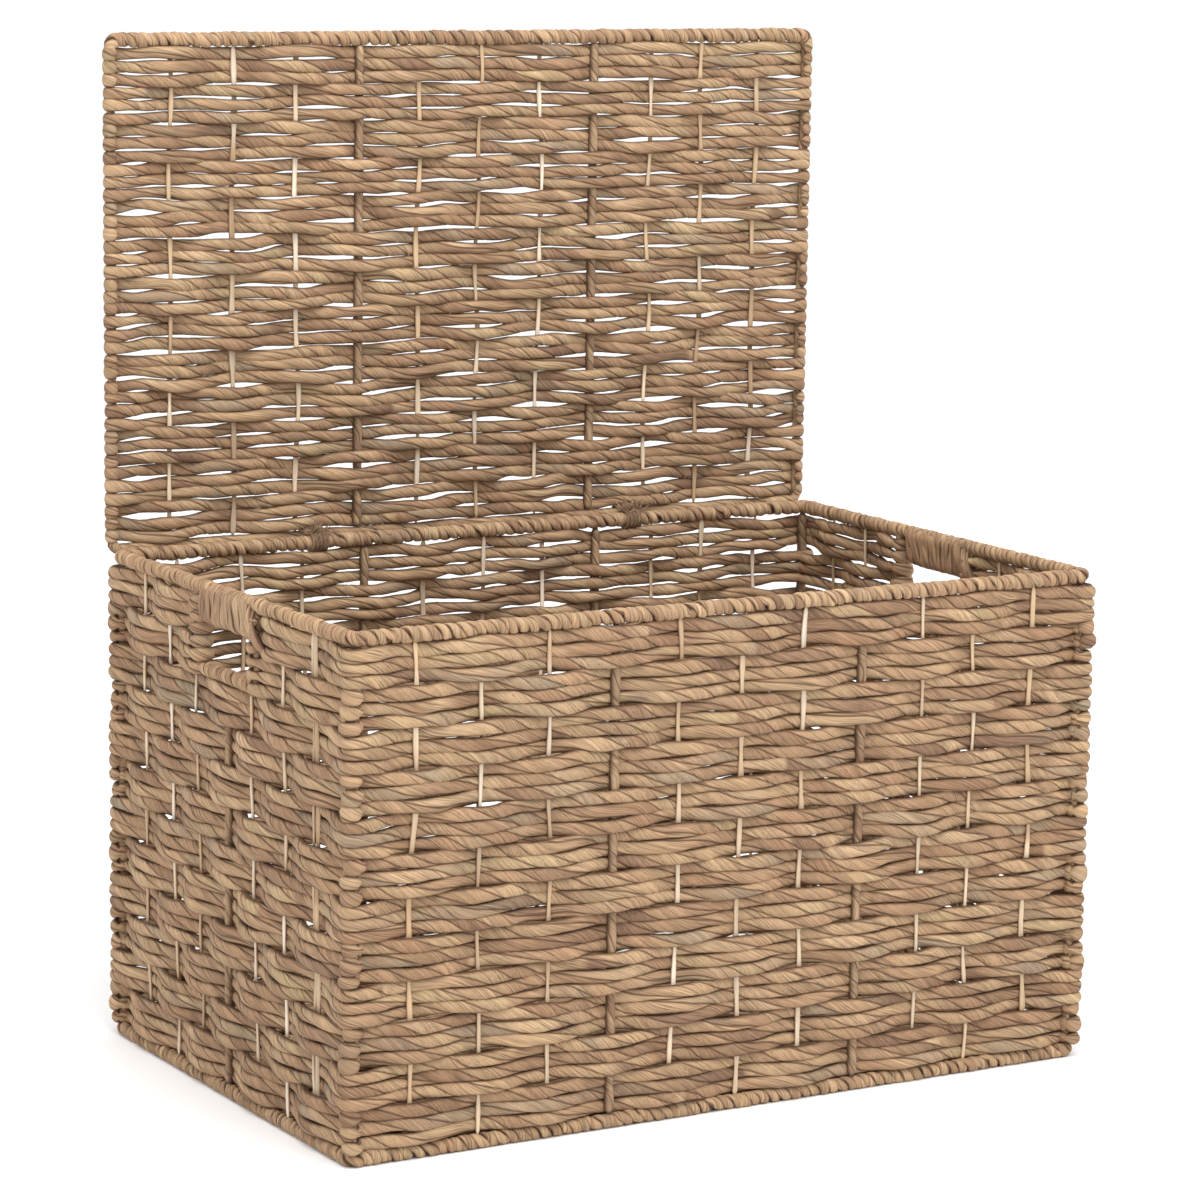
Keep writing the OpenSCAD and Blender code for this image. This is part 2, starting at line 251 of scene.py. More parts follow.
class Bundle:
    """Collects strands, each a tube along a curve, and makes them one mesh with its colour attributes."""

    def __init__(self):
        self.points, self.quads, self.fans = [], [], []
        self.tint, self.fibre, self.painted_shade = [], [], []
        self.count = 0

    def tube(self, centre, across, over, tint, fibre, painted_shade, closed):
        """Adds a tube of rings round the points of centre. A ring's points are across + over from it."""
        rings, sides = over.shape[:2]
        points = centre[:, None, :] + across + over
        index = self.count + np.arange(rings * sides).reshape(rings, sides)
        if closed:
            upper, lower = index, np.roll(index, -1, 0)
        else:
            upper, lower = index[:-1], index[1:]
            self.fans += [index[0][::-1], index[-1]]
        quads = np.stack([upper, np.roll(upper, -1, 1), np.roll(lower, -1, 1), lower], -1)
        self.quads.append(quads.reshape(-1, 4))
        self.points.append(points.reshape(-1, 3))
        self.tint.append(tint.reshape(-1, 3))
        self.fibre.append(fibre.reshape(-1, 3))
        self.painted_shade.append(painted_shade.reshape(-1))
        self.count += rings * sides

    def mesh(self, name, material):
        """One object of all the tubes so far."""
        points = np.vstack(self.points)
        quads = np.vstack(self.quads)
        loops = np.concatenate([quads.reshape(-1)] + self.fans)
        sizes = np.concatenate([np.full(len(quads), 4), np.array([len(f) for f in self.fans], int)])
        data = bpy.data.meshes.new(name)
        data.vertices.add(len(points))
        data.vertices.foreach_set("co", points.astype(np.float32).ravel())
        data.loops.add(len(loops))
        data.loops.foreach_set("vertex_index", loops.astype(np.int32))
        data.polygons.add(len(sizes))
        starts = np.concatenate([[0], np.cumsum(sizes)[:-1]])
        data.polygons.foreach_set("loop_start", starts.astype(np.int32))
        data.polygons.foreach_set("use_smooth", np.ones(len(sizes), bool))
        tint = np.ones((len(points), 4))
        tint[:, :3] = np.vstack(self.tint)
        for key, kind, field, values in (("tint", "FLOAT_COLOR", "color", tint),
                                         ("fibre", "FLOAT_VECTOR", "vector", np.vstack(self.fibre)),
                                         ("painted_shade", "FLOAT", "value", np.concatenate(self.painted_shade))):
            attribute = data.attributes.new(key, kind, "POINT")
            attribute.data.foreach_set(field, values.astype(np.float32).ravel())
        data.update(calc_edges=True)
        data.validate()
        data.materials.append(material)
        return new_object(name, data)


def settle(piece, body, slot, *nodes):
    """Sets the body a piece moves with and hides the CAD nodes it stands for. Its material slot argument is
    not used.
    """
    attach(piece, body)
    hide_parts(*nodes)


def tones_along(rng, along, total, palette, patch):
    """Colours along one leaf, changing softly from patch to patch."""
    colours, shares = palette
    count = max(2, int(total / patch) + 2)
    picks = colours[rng.choice(len(colours), count, p=np.array(shares) / sum(shares))]
    picks = picks * rng.uniform(0.88, 1.1, (count, 1))
    return sampled(along, np.sort(rng.uniform(0, total, count)), picks, total)


def end_taper(along, total, reach):
    """1 along a strand, falling to a rounded tip at both ends."""
    share = np.clip(np.minimum(along, total - along) / reach, 0, 1)
    return np.sqrt(np.clip(1 - (1 - share) ** 2, 0.03, 1))


def fibre_places(*parts):
    """Texture places whose first part runs along the fibres."""
    return np.stack(np.broadcast_arrays(*parts), -1)


def lay_cord(bundle, rng, path, across, half_high, half_deep, closed=False, lay=40 * MM, waist=0.2,
             even=0.93, palette=LEAF, patch=60 * MM, step=3.6 * MM, hand=-1, girth=None, finer=None,
             lean=0.85, crease_shade=0.9):
    """A cord of two twisted leaves along path.

    across maps points and the way along to the way out of the panel. half_high is half the cord's height
    within the panel. lay is how far one leaf shows before the other covers it, and waist is the depth of
    the crease between them. even is how much the cord's height is evened out where the twist is narrow.
    hand is the way of the twist. girth maps points to factors for height and depth, and finer to how much
    closer the rings stand. lean turns the fibres against the twist, and the last argument sets the crease's
    painted shade.
    """
    points, along, total, out, side = strand_frame(path, across, step, closed, finer)
    turns = total / (2 * lay)
    if closed:
        turns = round(turns)
    phase = 2 * math.pi * (turns * along / total + rng.random())
    phase = hand * (phase + 0.7 * wobble(rng, along, total, 4 * lay))
    half_turn = np.radians([0, 6, 16, 36, 63, 90, 117, 144, 164, 174])
    angle = math.pi / 2 + np.concatenate([half_turn, half_turn + math.pi])
    lift_off = np.abs(np.cos(angle))
    crease = np.exp(-(np.arcsin(np.minimum(lift_off, 1)) / math.radians(8)) ** 2)
    lobe = 1 - waist * (0.5 * (1 - lift_off) + 0.45 * crease)
    turned = angle + phase[:, None]
    wide = lobe * np.cos(turned)
    high = lobe * np.sin(turned)
    high = high / np.abs(high).max(1, keepdims=True) ** even
    wide = wide / np.abs(wide).max(1, keepdims=True) ** even
    thickness = 1 + 0.05 * wobble(rng, along, total, 60 * MM)
    if not closed:
        thickness = thickness * end_taper(along, total, 5 * MM)
    tall, deep = half_high * thickness, half_deep * thickness
    if girth is not None:
        tall_factor, deep_factor = girth(points)
        tall, deep = tall * tall_factor, deep * deep_factor
    # Painted shade: the colour darkens in the crease between the two leaves and along the edges where a cord
    # presses on its neighbours.
    contact_shade = np.clip((np.abs(high) / np.abs(high).max(1, keepdims=True) - 0.78) / 0.22, 0, 1)
    painted_shade = np.maximum(crease_shade * crease, contact_shade)
    wide = wide * deep[:, None]
    high = high * tall[:, None]
    first = tones_along(rng, along, total, palette, patch)
    second = tones_along(rng, along, total, palette, patch)
    share = np.where(lift_off > 0.01, np.cos(angle) > 0, 0.5)[:, None]
    tint = first[:, None, :] * share + second[:, None, :] * (1 - share)
    fibre_angle = angle - lean * phase[:, None]
    fibre = fibre_places(along[:, None] + rng.uniform(0, 9), half_high * np.cos(fibre_angle),
                         half_high * np.sin(fibre_angle) + 0.02 * np.sign(np.cos(angle)))
    bundle.tube(points, out[:, None, :] * wide[..., None], side[:, None, :] * high[..., None],
                tint, fibre, painted_shade, closed)


def lay_strip(bundle, rng, path, across, half_wide, half_thick, closed=False, palette=LEAF, patch=60 * MM,
              step=2.6 * MM, sides=10, roundness=1.0, uneven=0.08):
    """One leaf or stake: a flat strip with rounded edges along path, its flat side facing across."""
    points, along, total, out, side = strand_frame(path, across, step, closed)
    angle = (np.arange(sides) + 0.5) / sides * 2 * math.pi
    thick = np.sign(np.sin(angle)) * np.abs(np.sin(angle)) ** roundness
    wide = np.sign(np.cos(angle)) * np.abs(np.cos(angle)) ** roundness
    size = 1 + uneven * wobble(rng, along, total, 45 * MM)
    if not closed:
        size = size * end_taper(along, total, 2 * MM)
    tint = np.repeat(tones_along(rng, along, total, palette, patch)[:, None, :], sides, 1)
    tint = tint * (1 + 0.05 * np.cos(angle + rng.uniform(0, 6)))[:, None]
    # Painted shade darkens the strip's rounded edges.
    painted_shade = np.clip((np.abs(np.cos(angle)) - 0.72) / 0.28, 0, 1) * np.ones((len(points), 1))
    fibre = fibre_places(along[:, None] + rng.uniform(0, 9), half_wide * np.cos(angle),
                         half_thick * np.sin(angle))
    bundle.tube(points, out[:, None, :] * (half_thick * size[:, None] * thick)[..., None],
                side[:, None, :] * (half_wide * size[:, None] * wide)[..., None],
                tint, fibre, painted_shade, closed)


# ---- Materials ----

def new_material(name):
    """A material with its nodes, links and surface shader."""
    material = bpy.data.materials.new(name)
    material.use_nodes = True
    nodes = material.node_tree.nodes
    return material, nodes, material.node_tree.links, nodes["Principled BSDF"]


def add_node(nodes, kind, values):
    """A new shader node with values set on its inputs."""
    node = nodes.new("ShaderNode" + kind)
    for socket, value in values.items():
        node.inputs[socket].default_value = value
    return node


def add_relief(nodes, links, shader, height, strength, distance):
    relief = add_node(nodes, "Bump", {"Strength": strength, "Distance": distance})
    links.new(height, relief.inputs["Height"])
    links.new(relief.outputs["Normal"], shader.inputs["Normal"])


def leaf_material(name, streak=0.42, lines=0.5, bump=0.4, roughness=0.78, darkest=0.36, gain=0.86,
                  stain=0.45):
    """Dried leaf in the strand's own colour, with streaks and folds along its fibres, and painted shade in
    its creases and contact edges.

    streak, lines and stain are the strengths of the streaks, of the dark folds and of the brown spots.
    gain is the brightness on the open leaf, and darkest is the share of it that is left where the shade is
    painted darkest.
    """
    material, nodes, links, shader = new_material(name)

    def attribute(key):
        node = nodes.new("ShaderNodeAttribute")
        node.attribute_name = key
        return node

    tint, fibre, painted_shade = attribute("tint"), attribute("fibre"), attribute("painted_shade")

    def stretched_noise(scale, detail, rough=0.6):
        mapping = add_node(nodes, "Mapping", {"Scale": scale})
        links.new(fibre.outputs["Vector"], mapping.inputs["Vector"])
        noise = add_node(nodes, "TexNoise", {"Scale": 1.0, "Detail": detail, "Roughness": rough})
        links.new(mapping.outputs["Vector"], noise.inputs["Vector"])
        return noise.outputs["Fac"]

    def ranged(value, low, high, to_low, to_high):
        node = add_node(nodes, "MapRange", {"From Min": low, "From Max": high, "To Min": to_low,
                                            "To Max": to_high})
        links.new(value, node.inputs["Value"])
        return node.outputs["Result"]

    def combined(operation, a, b, clamp=False):
        node = nodes.new("ShaderNodeMath")
        node.operation = operation
        node.use_clamp = clamp
        links.new(a, node.inputs[0])
        links.new(b, node.inputs[1])
        return node.outputs["Value"]

    def times(a, b):
        return combined("MULTIPLY", a, b)

    fine = stretched_noise((26, 1400, 1400), 2.0)
    broad = stretched_noise((14, 360, 360), 2.0)
    fold = stretched_noise((20, 760, 760), 1.0)
    blotch = stretched_noise((30, 70, 70), 3.0)
    spot = stretched_noise((55, 190, 190), 4.0, 0.7)
    fine_shade = ranged(fine, 0.32, 0.68, 1.0 - streak, 1.0 + 0.35 * streak)
    broad_shade = ranged(broad, 0.3, 0.7, 1.0 - 0.5 * streak, 1.0 + 0.3 * streak)
    fold_shade = ranged(fold, 0.60, 0.67, 1.0, 1.0 - lines)
    blotch_shade = ranged(blotch, 0.3, 0.7, 0.88, 1.1)
    # Painted shade: the colour darkens where the shade attribute marks creases and contact edges.
    seam_shade = ranged(painted_shade.outputs["Fac"], 0.0, 1.0, gain, darkest * gain)
    shade = times(times(times(fine_shade, broad_shade), times(blotch_shade, seam_shade)), fold_shade)
    stains_and_shade = nodes.new("ShaderNodeMix")
    stains_and_shade.data_type = "RGBA"
    stains_and_shade.blend_type = "MULTIPLY"
    # The warm brown below goes on at the brown spots, which are stains, and at the creases and contact edges
    # as painted shade.
    spots = ranged(spot, 0.60, 0.72, 0.0, stain)
    painted_crease_tint = ranged(painted_shade.outputs["Fac"], 0.1, 1.0, 0.0, 0.75)
    links.new(combined("ADD", spots, painted_crease_tint, clamp=True), stains_and_shade.inputs[0])
    links.new(tint.outputs["Color"], stains_and_shade.inputs[6])
    stains_and_shade.inputs[7].default_value = (0.56, 0.37, 0.28, 1)
    scaled = nodes.new("ShaderNodeVectorMath")
    scaled.operation = "SCALE"
    links.new(stains_and_shade.outputs[2], scaled.inputs[0])
    links.new(shade, scaled.inputs["Scale"])
    links.new(scaled.outputs["Vector"], shader.inputs["Base Color"])
    links.new(ranged(broad, 0.3, 0.7, roughness + 0.1, roughness - 0.12), shader.inputs["Roughness"])
    shader.inputs["Specular IOR Level"].default_value = 0.35
    add_relief(nodes, links, shader, times(fine_shade, fold_shade), bump, 0.6 * MM)
    return material


def paint_material():
    """Brown painted steel rod, seen only between the cords."""
    material, nodes, links, shader = new_material("rod_paint")
    where = nodes.new("ShaderNodeTexCoord")
    noise = add_node(nodes, "TexNoise", {"Scale": 180, "Detail": 4})
    links.new(where.outputs["Object"], noise.inputs["Vector"])
    ramp = nodes.new("ShaderNodeValToRGB")
    ramp.color_ramp.elements[0].color = (0.045, 0.028, 0.018, 1)
    ramp.color_ramp.elements[1].color = (0.085, 0.055, 0.036, 1)
    links.new(noise.outputs["Fac"], ramp.inputs["Fac"])
    links.new(ramp.outputs["Color"], shader.inputs["Base Color"])
    shader.inputs["Roughness"].default_value = 0.5
    add_relief(nodes, links, shader, noise.outputs["Fac"], 0.1, 0.2 * MM)
    return material


CORD = leaf_material("hyacinth_cord")
COIL = leaf_material("hyacinth_coil", darkest=0.45, lines=0.4, gain=0.87)
LEAF_WRAP = leaf_material("grip_leaf", darkest=0.45, roughness=0.7)
DARK_CORD = leaf_material("rib_cord", darkest=0.45, lines=0.35)
STAKE = leaf_material("rattan_strip", streak=0.14, lines=0.12, bump=0.12, roughness=0.6, darkest=0.9,
                      stain=0.1, gain=1.02)
PAINT = paint_material()


# ---- Row paths ----

def row_out(_points, ahead):
    """Out of a wall whose rows run round the trunk: level and to the right of the way the row runs."""
    out = np.cross(ahead, UP)
    return out / np.linalg.norm(out, axis=1)[:, None]


# Each wall's first corner in plan, the way its rows run, the way out of it, and its length.
WALLS = {
    "front": (np.array([-HALF_W, -HALF_D]), np.array([1.0, 0.0]), np.array([0.0, -1.0]), 2 * HALF_W),
    "right": (np.array([HALF_W, -HALF_D]), np.array([0.0, 1.0]), np.array([1.0, 0.0]), 2 * HALF_D),
    "back": (np.array([HALF_W, HALF_D]), np.array([-1.0, 0.0]), np.array([0.0, 1.0]), 2 * HALF_W),
    "left": (np.array([-HALF_W, HALF_D]), np.array([0.0, -1.0]), np.array([-1.0, 0.0]), 2 * HALF_D),
}


def side_lean(stand, height):
    """How far a side wall's stake stands behind its middle place: the tops lean back, the feet forward.

    The rib in the middle is a rod welded upright, so it doesn't lean.
    """
    share = (height - WALL_BOTTOM) / (WALL_TOP - WALL_BOTTOM) - 0.5
    leaning = SIDE_LEAN * 2 * share * np.sin(math.pi * (stand + HALF_D) / (2 * HALF_D))
    return np.where(np.abs(stand) < 1 * MM, 0.0, leaning)


def wall_stands(wall, height):
    """Distances of a wall's corners, stakes and ribs from its first corner, for a row at this height."""
    if wall == "front":
        places = WALL_STANDS + HALF_W
    elif wall == "back":
        places = (HALF_W - WALL_STANDS)[::-1]
    else:
        leaning = SIDE_STANDS + side_lean(SIDE_STANDS, height)
        places = leaning + HALF_D if wall == "right" else (HALF_D - leaning)[::-1]
    return np.concatenate([[0.0], places, [WALLS[wall][3]]])


def wave(along, places):
    """1 at even stands, -1 at odd ones."""
    return np.cos(math.pi * np.interp(along, places, np.arange(len(places))))


def wall_run(wall, swing, height, start=0.0, end=None):
    """One wall's stretch of a row in plan, from start to end. It is outside even stands if swing > 0."""
    corner, ahead, out, length = WALLS[wall]
    along = np.arange(start, length if end is None else end, 3 * MM)
    swung = swing * wave(along, wall_stands(wall, height))
    return corner + along[:, None] * ahead + swung[:, None] * out


def corner_turn(wall, swing, rng):
    """The turn at a wall's far corner: a quarter round the outside, or three quarters round the post."""
    corner, ahead, out, length = WALLS[wall]
    centre = corner + length * ahead
    if swing > 0:
        return arc(centre, out, ahead, swing, 0.0, math.pi / 2)
    centre = centre + rng.normal(0, POST_STRAY) * ahead + rng.normal(0, POST_STRAY) * out
    return arc(centre, -out, ahead, POST_TURN, 0.0, 1.5 * math.pi)


def lift(plan, height):
    """Points in plan, set at one height."""
    return np.column_stack([plan, np.full(len(plan), height)])


def full_row(swing, height, rng):
    """A row that goes all the way round the trunk."""
    parts = []
    for wall in ("back", "left", "front", "right"):
        parts += [wall_run(wall, swing, height), corner_turn(wall, swing, rng)]
    return lift(np.vstack(parts), height)


def turned_end(centre, ahead, out, swing, radius):
    """A row's end turned round an upright: past it on its own side, and back on the other side."""
    side = math.copysign(1.0, swing)
    return arc(centre, out * side, ahead, radius, 0.0, math.radians(235))


def short_row(walls, swing, height, rng):
    """A row from one hand hole to the other. walls are the first, middle and last wall it is on."""
    first, centre_wall, last = walls
    corner, ahead, out, _ = WALLS[first]
    stop = HALF_D + UPRIGHT_Y
    parts = [turned_end(corner + stop * ahead, -ahead, out, -swing, HOLE_TURN)[::-1],
             wall_run(first, swing, height, stop + 5 * MM), corner_turn(first, swing, rng),
             wall_run(centre_wall, swing, height), corner_turn(centre_wall, swing, rng)]
    corner, ahead, out, _ = WALLS[last]
    stop = HALF_D - UPRIGHT_Y
    parts += [wall_run(last, swing, height, 0.0, stop - 5 * MM),
              turned_end(corner + stop * ahead, ahead, out, -swing, HOLE_TURN)]
    return lift(np.vstack(parts), height)


def row_height(row):
    """The height of a wall row, counted down from the rim."""
    return WALL_TOP - (row + 0.5) * ROW_PITCH


def smoothstep(value, low, high):
    """0 below low, 1 above high, and a smooth rise between."""
    share = np.clip((value - low) / (high - low), 0, 1)
    return share * share * (3 - 2 * share)


def looseness(points):
    """0 on the tightly woven front and left walls, 1 on the looser back and right walls."""
    behind = smoothstep(points[:, 1], HALF_D - 40 * MM, HALF_D - 8 * MM)
    right = smoothstep(points[:, 0], HALF_W - 40 * MM, HALF_W - 8 * MM)
    return np.maximum(behind, 0.7 * right)


def loose_corner(points):
    """1 at the back right post, where groups of rows are drawn together, falling to 0 some 80 mm away."""
    offset = points[:, :2] - [HALF_W, HALF_D]
    return np.exp(-(offset ** 2).sum(1) / (45 * MM) ** 2)


def plan_offset(points, half_d):
    """Each point's offset and distance in plan from the nearest of four uprights in the side walls."""
    upright = np.column_stack([np.copysign(HALF_W, points[:, 0]), np.copysign(half_d, points[:, 1])])
    offset = points[:, :2] - upright
    return offset, np.linalg.norm(offset, axis=1) + 1e-9


def corner_distance(points):
    """Each point's distance in plan from the nearest corner post, and its share outwards from there."""
    offset, distance = plan_offset(points, HALF_D)
    return distance, (offset * np.copysign(1.0, points[:, :2])).sum(1) / distance / math.sqrt(2)


def hole_distance(points):
    """Each point's distance in plan from a hand hole's nearest upright, and its share towards the hole."""
    offset, distance = plan_offset(points, UPRIGHT_Y)
    distance = np.where(points[:, 2] > SILL_Z, distance, 1.0)
    return distance, -offset[:, 1] * np.sign(points[:, 1]) / distance


def near(distance, reach):
    """1 up to the swing of a turning cord, falling to 0 beyond it."""
    return np.exp(-(np.maximum(distance - WEAVE_SWING, 0) / reach) ** 2)


def near_turns(points):
    """How much closer a row's points stand where it turns round a post or an upright."""
    at_corner = near(corner_distance(points)[0], 9 * MM)
    at_hole = near(hole_distance(points)[0], 9 * MM)
    return 1 + 2.2 * np.maximum(at_corner, at_hole)


def wall_girth(points, knobs):
    """Cords are thinner in the looser walls, and round knobs where they wrap a post or an upright."""
    distance, outward = corner_distance(points)
    slim = 1 - 0.13 * looseness(points) - 0.08 * loose_corner(points)
    if knobs:
        turning = near(distance, 3.5 * MM)
        size = 1 + 0.19 * np.sin(points[:, 2] / (3.1 * MM) + 90 * points[:, 0])
        front, rear = np.maximum(outward, 0) ** 0.4, np.minimum(-2 * outward, 1)
        knob = size * np.where(outward > 0, 0.55 + 0.64 * front, 0.55 + 0.45 * rear)
    else:
        turning = near(distance, 12 * MM)
        knob = 0.93
    tall = slim + turning * (knob - slim)
    deep = 1 + turning * (0.16 if knobs else 0.06) * np.clip(outward, 0, 1)
    distance, inward = hole_distance(points)
    turning = near(distance, 5 * MM)
    knob = 0.68 + 0.45 * np.clip(inward, 0, 1) ** 0.4
    return tall + turning * (knob - tall), deep + turning * 0.2 * np.clip(inward, 0, 1)


def wavy(rng, path, size, closed, spread, at_posts):
    """Lets a row rise and fall a little along its length.

    spread opens a group where it is outermost and draws it together at the loose corner. at_posts is how
    many times as much it opens the group at the posts: below 0 for rows that pass outside them.
    """
    points, along, total = resample(path, 4 * MM, closed, near_turns)
    rise = size * wobble(rng, along, total, 130 * MM, 4)
    rise += 0.35 * size * wobble(rng, along, total, 50 * MM, 4)
    distance, _ = corner_distance(points)
    calm = smoothstep(distance, 4 * MM, 40 * MM)
    rise = rise * (0.35 + 0.65 * calm) * (1 + 1.1 * looseness(points))
    outside = np.maximum(np.abs(points[:, 0]) - HALF_W, np.abs(points[:, 1]) - HALF_D) / WEAVE_SWING
    points[:, 2] += rise + spread * (np.clip(outside, -1, 1) - 6 * loose_corner(points))
    points[:, 2] += spread * at_posts * near(distance, 14 * MM)
    return points


# ---- The trunk's woven walls ----

def build_walls():
    """One piece for each group of three rows."""
    for group in range(WALL_ROWS // ROWS_IN_GROUP):
        if group % 3 == 0:
            rng = np.random.default_rng(100 + group // 3)
        bundle = Bundle()
        swing = WEAVE_SWING if group % 2 == 0 else -WEAVE_SWING
        for place in range(ROWS_IN_GROUP):
            row = group * ROWS_IN_GROUP + place
            height = row_height(row)
            spread = (1 - place) * 0.35 * MM
            if row < SHORT_ROWS:
                paths = [short_row(("left", "front", "right"), swing, height, rng),
                         short_row(("right", "back", "left"), swing, height, rng)]
            else:
                paths = [full_row(swing, height, rng)]
            for path in paths:
                closed = row >= SHORT_ROWS
                path = wavy(rng, path, 0.6 * MM, closed, spread, 4.0 if swing < 0 else -4.0)
                lay_cord(bundle, rng, path, row_out, rng.uniform(*CORD_HALF), 4.5 * MM, closed=closed,
                         lay=rng.uniform(*CORD_LAY), girth=partial(wall_girth, knobs=swing < 0),
                         finer=near_turns)
        panels = SHORT_PANELS if group * ROWS_IN_GROUP < SHORT_ROWS else FULL_PANELS
        settle(bundle.mesh(f"wall_rows_{group + 1}", CORD), "trunk", "woven_cord", "front_weave",
               "back_weave", *panels, *CORNER_WRAPS)


def build_base():
    """The base's rows run from left to right, in two pieces."""
    rng = np.random.default_rng(200)
    bundle = Bundle()
    places = np.concatenate([[-HALF_W], WALL_STANDS, [HALF_W]])
    for row in range(BASE_ROWS):
        if row == BASE_ROWS // 2:
            settle(bundle.mesh("base_rows_front", CORD), "trunk", "woven_cord", "base_weave")
            bundle = Bundle()
        y = -HALF_D + BINDING_R + (row + 0.5) * BASE_PITCH
        x = np.arange(-HALF_W + 5 * MM, HALF_W - 5 * MM, 3 * MM)
        swing = 2.6 * MM if (row // ROWS_IN_GROUP) % 2 == 0 else -2.6 * MM
        path = np.column_stack([x, np.full_like(x, y), BASE_LEVEL + swing * wave(x, places)])
        lay_cord(bundle, rng, path, lambda p, t: np.cross(t, BACK), 5.9 * MM, 3.9 * MM,
                 lay=rng.uniform(*CORD_LAY), step=4.5 * MM)
    settle(bundle.mesh("base_rows_back", CORD), "trunk", "woven_cord", "base_weave")


def lid_row(swing, height):
    """One row of the lid, turned round both side rods. swing > 0 is towards the front."""
    x = np.arange(-HALF_W + 3 * MM, HALF_W - 3 * MM, 3 * MM)
    places = np.concatenate([[-HALF_W], LID_STANDS, [HALF_W]])
    tight = LID_EDGE_TURN / WEAVE_SWING
    reach = 1 - (1 - tight) * smoothstep(np.abs(x), HALF_W - 25 * MM, HALF_W)
    middle_run = np.column_stack([x, LID_Y - swing * reach * wave(x, places), np.full_like(x, height)])
    start = np.array([-HALF_W, LID_Y, height])
    left_end = turned_end(start, -RIGHT, -BACK, swing, tight * abs(swing))[::-1]
    right_end = turned_end(start + 2 * HALF_W * RIGHT, RIGHT, -BACK, swing, tight * abs(swing))
    return np.vstack([left_end, middle_run, right_end])


def lid_girth(points):
    """Rows are drawn flat round the lid's side rods and are slim just beside them."""
    edge = smoothstep(np.abs(points[:, 0]), HALF_W - 12 * MM, HALF_W - 2 * MM)
    neck = np.exp(-((HALF_W - 20 * MM - np.abs(points[:, 0])) / (12 * MM)) ** 2)
    return 1 + 0.06 * edge - 0.14 * neck, 1 - 0.35 * edge


def near_lid_edge(points):
    """How much closer a lid row's points stand where it turns round a side rod."""
    return 1 + 2.2 * smoothstep(np.abs(points[:, 0]), HALF_W - 16 * MM, HALF_W - 4 * MM)


def build_lid():
    """The lid's rows in two pieces, and the leaf wound round its side rods under their ends."""
    nodes = ("lid_weave", "lid_edge_wrap_left", "lid_edge_wrap_right")
    bundle = Bundle()
    rng = np.random.default_rng(302)
    for x in (-HALF_W, HALF_W):
        add_rib_cord(bundle, rng, (x, LID_Y, LID_REAR + 4 * MM), (x, LID_Y, LID_FREE - 4 * MM),
                     math.copysign(1, x) * RIGHT, 4.0 * MM)
    settle(bundle.mesh("lid_edge_cords", DARK_CORD), "lid", "woven_cord", *nodes)
    for part in range(2):
        rng = np.random.default_rng(300 + part)
        bundle = Bundle()
        rows = range(LID_UPPER_ROWS) if part == 0 else range(LID_UPPER_ROWS, LID_ROWS)
        for row in rows:
            swing = -WEAVE_SWING if (row // ROWS_IN_GROUP) % 2 == 0 else WEAVE_SWING
            height = LID_FREE - BINDING_R - (row + 0.5) * LID_PITCH
            points, along, total = resample(lid_row(swing, height), 4 * MM, finer=near_lid_edge)
            rise = 0.95 * MM * wobble(rng, along, total, 160 * MM, 4)
            rise = rise + 0.3 * MM * wobble(rng, along, total, 60 * MM)
            inner = 1 - smoothstep(np.abs(points[:, 0]), HALF_W - 30 * MM, HALF_W)
            ends = rng.normal(0, 0.9 * MM, 2)
            points[:, 2] += (rise + rng.normal(0, 0.35 * MM)) * inner * (0.85 if row < 10 else 1.2)
            points[:, 2] += (1 - inner) * np.where(points[:, 0] < 0, ends[0], ends[1])
            lay_cord(bundle, rng, points, row_out, rng.uniform(5.0, 5.8) * MM, 4.3 * MM,
                     lay=rng.uniform(32, 50) * MM, girth=lid_girth, finer=near_lid_edge)
        settle(bundle.mesh(f"lid_rows_{part + 1}", CORD), "lid", "woven_cord", *nodes)


# ---- Stakes and ribs ----

def add_stake(bundle, rng, foot, top, lean, out):
    """A flat rattan strip from foot to top that strays a little sideways, along lean."""
    foot, top = np.array(foot), np.array(top)
    share = np.linspace(0, 1, 40)[:, None]
    stray = sum(rng.normal(0, 1.7 * MM) / k ** 0.7 * np.sin(k * math.pi * share) for k in range(1, 9))
    path = foot + share * (top - foot) + stray * lean
    half_wide = rng.uniform(1.7, 2.5) * MM
    lay_strip(bundle, rng, path, always(out), half_wide, 0.8 * MM, palette=RATTAN, patch=90 * MM,
              step=6 * MM, sides=8, roundness=0.55, uneven=0.12)


def settle_stakes(bundle, name):
    """Makes a panel's stakes one piece."""
    body = "lid" if name == "lid" else "trunk"
    settle(bundle.mesh(f"{name}_stake_strips", STAKE), body, "rattan_stake", f"{name}_stakes")


def panel_stakes(name, rng, stands, foot, top, out):
    """The stakes of a panel at its stands that aren't ribs; foot and top are their ends' Y and Z."""
    bundle = Bundle()
    for k, x in enumerate(stands, 1):
        if k not in RIBS:
            add_stake(bundle, rng, (x, *foot), (x, *top), RIGHT, out)
    settle_stakes(bundle, name)


